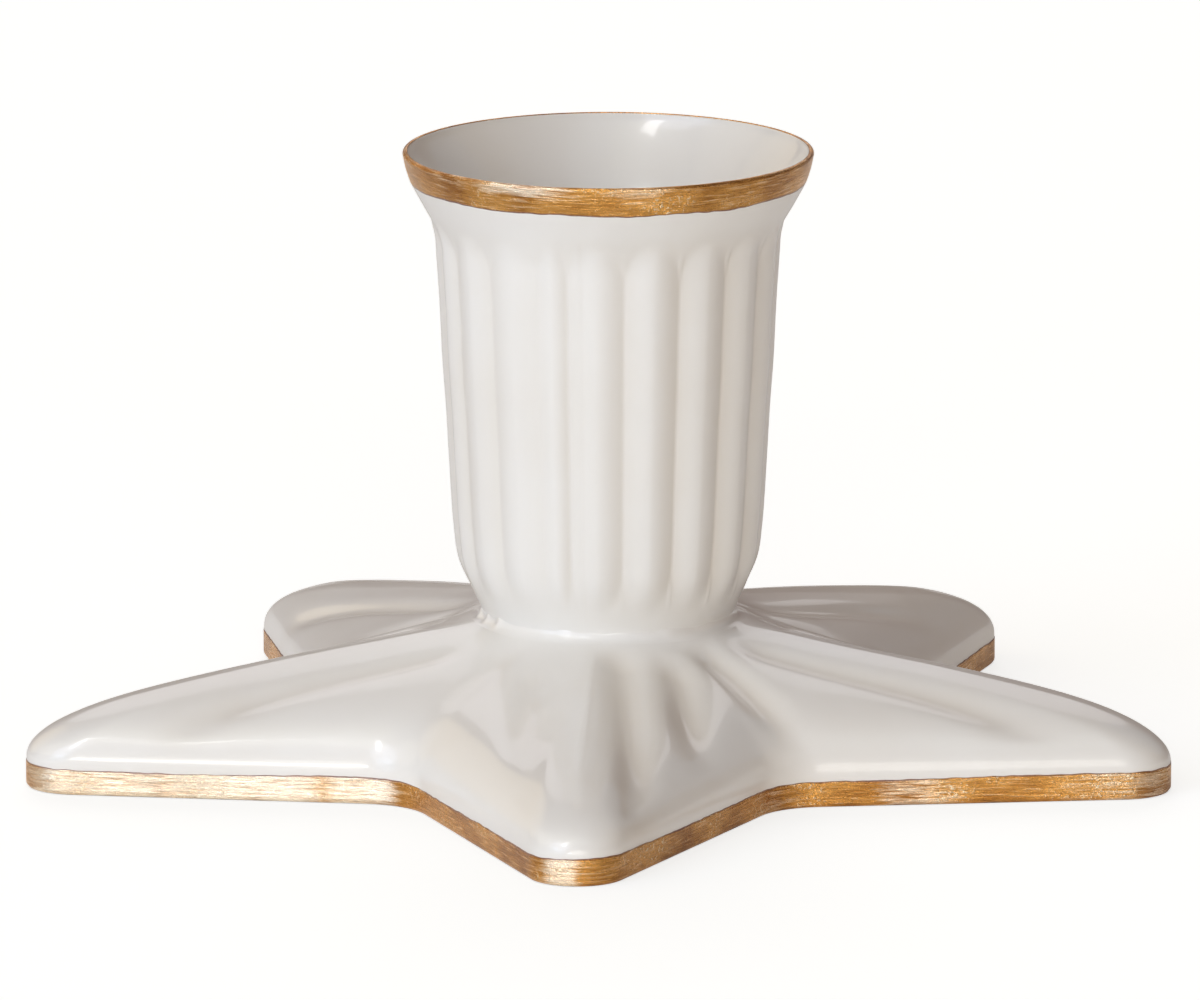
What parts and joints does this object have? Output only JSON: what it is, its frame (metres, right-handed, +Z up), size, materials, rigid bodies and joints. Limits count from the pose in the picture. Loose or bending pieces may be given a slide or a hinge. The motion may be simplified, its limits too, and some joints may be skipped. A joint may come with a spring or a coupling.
{
  "type": "tealight holder",
  "caption": "Glazed ceramic tealight holder: a flared, fluted cup on a five-armed star foot, with gold lustre on its rim and edge.",
  "frame": {"origin": "middle of the footprint's bounding box, in the plane of the table", "axes": "+Z up out of the cup's mouth, +X along the star's widest span, one arm points roughly along -Y"},
  "size_m": [0.159, 0.1532, 0.086],
  "materials": {
    "ivory_glaze": "glossy warm white glaze",
    "gold_lustre": "brushed-on fired gold lustre"
  },
  "bodies": {
    "root": {"star_base": "ivory_glaze", "fluted_cup": "ivory_glaze", "slip_joint": "ivory_glaze", "rim_gilding": "gold_lustre", "base_gilding": "gold_lustre"}
  },
  "joints": []
}
